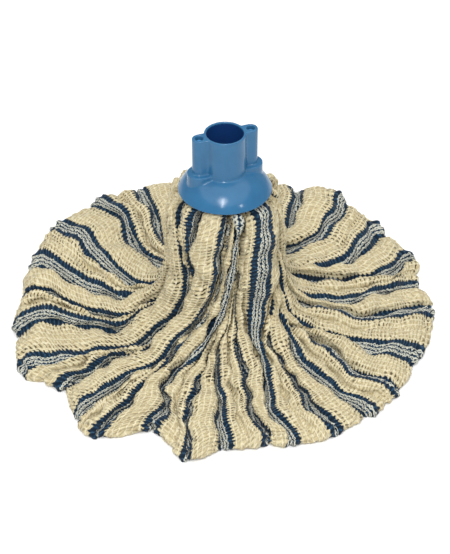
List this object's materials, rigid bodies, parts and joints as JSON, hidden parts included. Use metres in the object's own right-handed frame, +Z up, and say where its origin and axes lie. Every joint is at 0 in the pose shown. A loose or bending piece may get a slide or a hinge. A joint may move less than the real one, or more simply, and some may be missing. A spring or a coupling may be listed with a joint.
{
  "type": "socket mop head",
  "caption": "Socket mop head: knitted cotton bands clamped under a moulded blue push-fit socket and fanned out on the floor.",
  "frame": {"origin": "on the floor, under the middle of the head's bounding box", "axes": "+Z up along the socket's bore; X along the line of the two side bosses"},
  "size_m": [0.3012, 0.301, 0.1706],
  "materials": {
    "socket_plastic": "glossy moulded polypropylene",
    "clip_plastic": "satin moulded polypropylene",
    "knitted_cotton": "cream knit with navy and white stripes"
  },
  "bodies": {
    "root": {"socket": "socket_plastic", "retaining_clip": "clip_plastic", "knitted_band_1": "knitted_cotton", "knitted_band_2": "knitted_cotton", "knitted_band_3": "knitted_cotton", "knitted_band_4": "knitted_cotton", "knitted_band_5": "knitted_cotton", "knitted_band_6": "knitted_cotton", "knitted_band_7": "knitted_cotton"}
  },
  "joints": []
}
